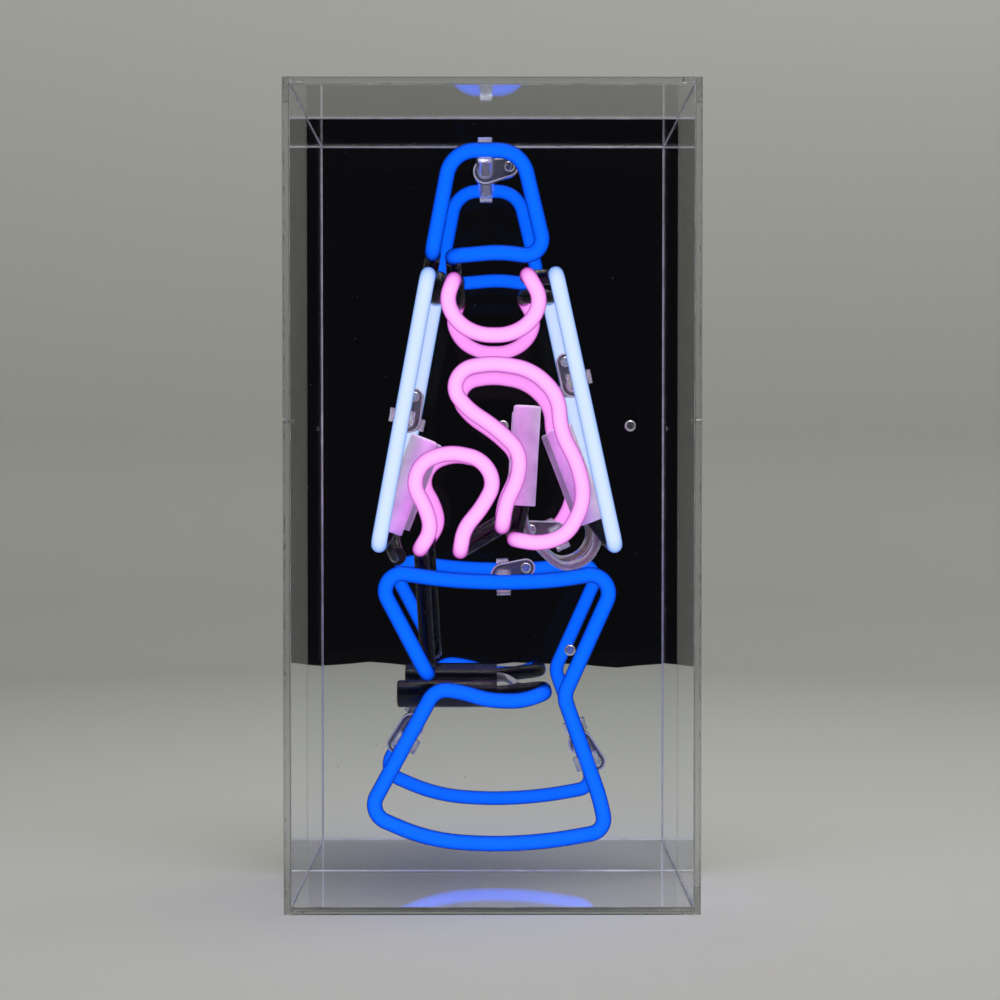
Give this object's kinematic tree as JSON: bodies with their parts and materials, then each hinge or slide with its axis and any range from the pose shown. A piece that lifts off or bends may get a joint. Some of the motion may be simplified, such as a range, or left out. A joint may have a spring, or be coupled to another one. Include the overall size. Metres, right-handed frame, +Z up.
{
  "type": "neon display light",
  "caption": "Bent glass neon light in the outline of a lava lamp, in a clear display box with a mirror back and a rear power unit.",
  "frame": {"origin": "on the surface that the box stands on, under the middle of the whole object", "axes": "+X right and +Z up as seen from the front, which faces -Y"},
  "size_m": [0.19, 0.123, 0.38],
  "materials": {
    "clear_acrylic": "clear polished cast acrylic sheet",
    "mirror_acrylic": "silvered acrylic mirror sheet",
    "blue_glass": "cobalt blue glass with a blue glow",
    "white_glass": "phosphor-coated glass with a cool white glow",
    "pink_glass": "phosphor-coated glass with a pink glow",
    "black_coated_glass": "glass tube coated with black block-out paint",
    "frosted_silicone": "frosted translucent silicone",
    "black_silicone": "black silicone",
    "nickel": "nickel-plated electrode shell",
    "clear_support_plastic": "clear moulded polycarbonate",
    "lead_silicone": "translucent silicone high-voltage sleeve",
    "copper_wire": "tinned copper wire",
    "black_rubber": "black rubber",
    "zinc_screw": "bright zinc-plated steel",
    "black_housing_plastic": "fine-textured black moulded plastic",
    "rocker_plastic": "smooth black moulded plastic",
    "circuit_board": "green solder mask on glass-fibre board",
    "ferrite": "dark grey ferrite",
    "amber_winding": "amber polyester winding tape",
    "capacitor_sleeve": "dark blue shrink sleeve",
    "heat_sink_metal": "plain aluminium extrusion"
  },
  "bodies": {
    "light": {"base_lead": "lead_silicone", "base_tube": "blue_glass", "board_capacitors": "capacitor_sleeve", "bottom_panel": "clear_acrylic", "bridge_base_to_bubble": "black_coated_glass", "bridge_between_bubbles": "black_coated_glass", "bridge_cap_to_drop": "black_coated_glass", "bridge_drop_to_side": "black_coated_glass", "bridge_side_to_cap": "black_coated_glass", "cap_tube": "blue_glass", "dc_jack": "black_housing_plastic", "driver_board": "circuit_board", "drop_tube": "pink_glass", "electrode_base": "nickel", "electrode_boot_base": "black_silicone", "electrode_boot_centre": "frosted_silicone", "electrode_boot_left": "frosted_silicone", "electrode_boot_right": "frosted_silicone", "electrode_centre": "nickel", "electrode_glass_base": "black_coated_glass", "electrode_glass_centre": "black_coated_glass", "electrode_glass_left": "black_coated_glass", "electrode_glass_right": "black_coated_glass", "electrode_left": "nickel", "electrode_right": "nickel", "front_panel": "clear_acrylic", "heat_sink": "heat_sink_metal", "housing_screws": "zinc_screw", "jumper_sleeve": "lead_silicone", "jumper_wire": "copper_wire", "large_bubble_tube": "pink_glass", "lead_grommets": "black_rubber", "left_lead": "black_silicone", "left_panel": "clear_acrylic", "left_side_tube": "white_glass", "mirror_panel": "mirror_acrylic", "rear_housing": "black_housing_plastic", "right_panel": "clear_acrylic", "right_side_tube": "white_glass", "small_bubble_tube": "pink_glass", "support_base_base_left": "clear_support_plastic", "support_base_base_right": "clear_support_plastic", "support_base_bubble": "clear_support_plastic", "support_base_left": "clear_support_plastic", "support_base_right": "clear_support_plastic", "support_base_rim": "clear_support_plastic", "support_base_top": "clear_support_plastic", "support_clip_base_left": "clear_support_plastic", "support_clip_base_right": "clear_support_plastic", "support_clip_bubble": "clear_support_plastic", "support_clip_left": "clear_support_plastic", "support_clip_right": "clear_support_plastic", "support_clip_rim": "clear_support_plastic", "support_clip_top": "clear_support_plastic", "support_screws": "zinc_screw", "switch_frame": "black_housing_plastic", "top_panel": "clear_acrylic", "transformer_core": "ferrite", "transformer_windings": "amber_winding"},
    "rocker": {"rocker": "rocker_plastic"}
  },
  "joints": [
    {"name": "rocker_tilt", "type": "hinge", "parent": "light", "child": "rocker", "pos_m": [0.081, 0.0475, 0.196], "axis": [0, 1, 0], "range_deg": [0, 18]}
  ]
}
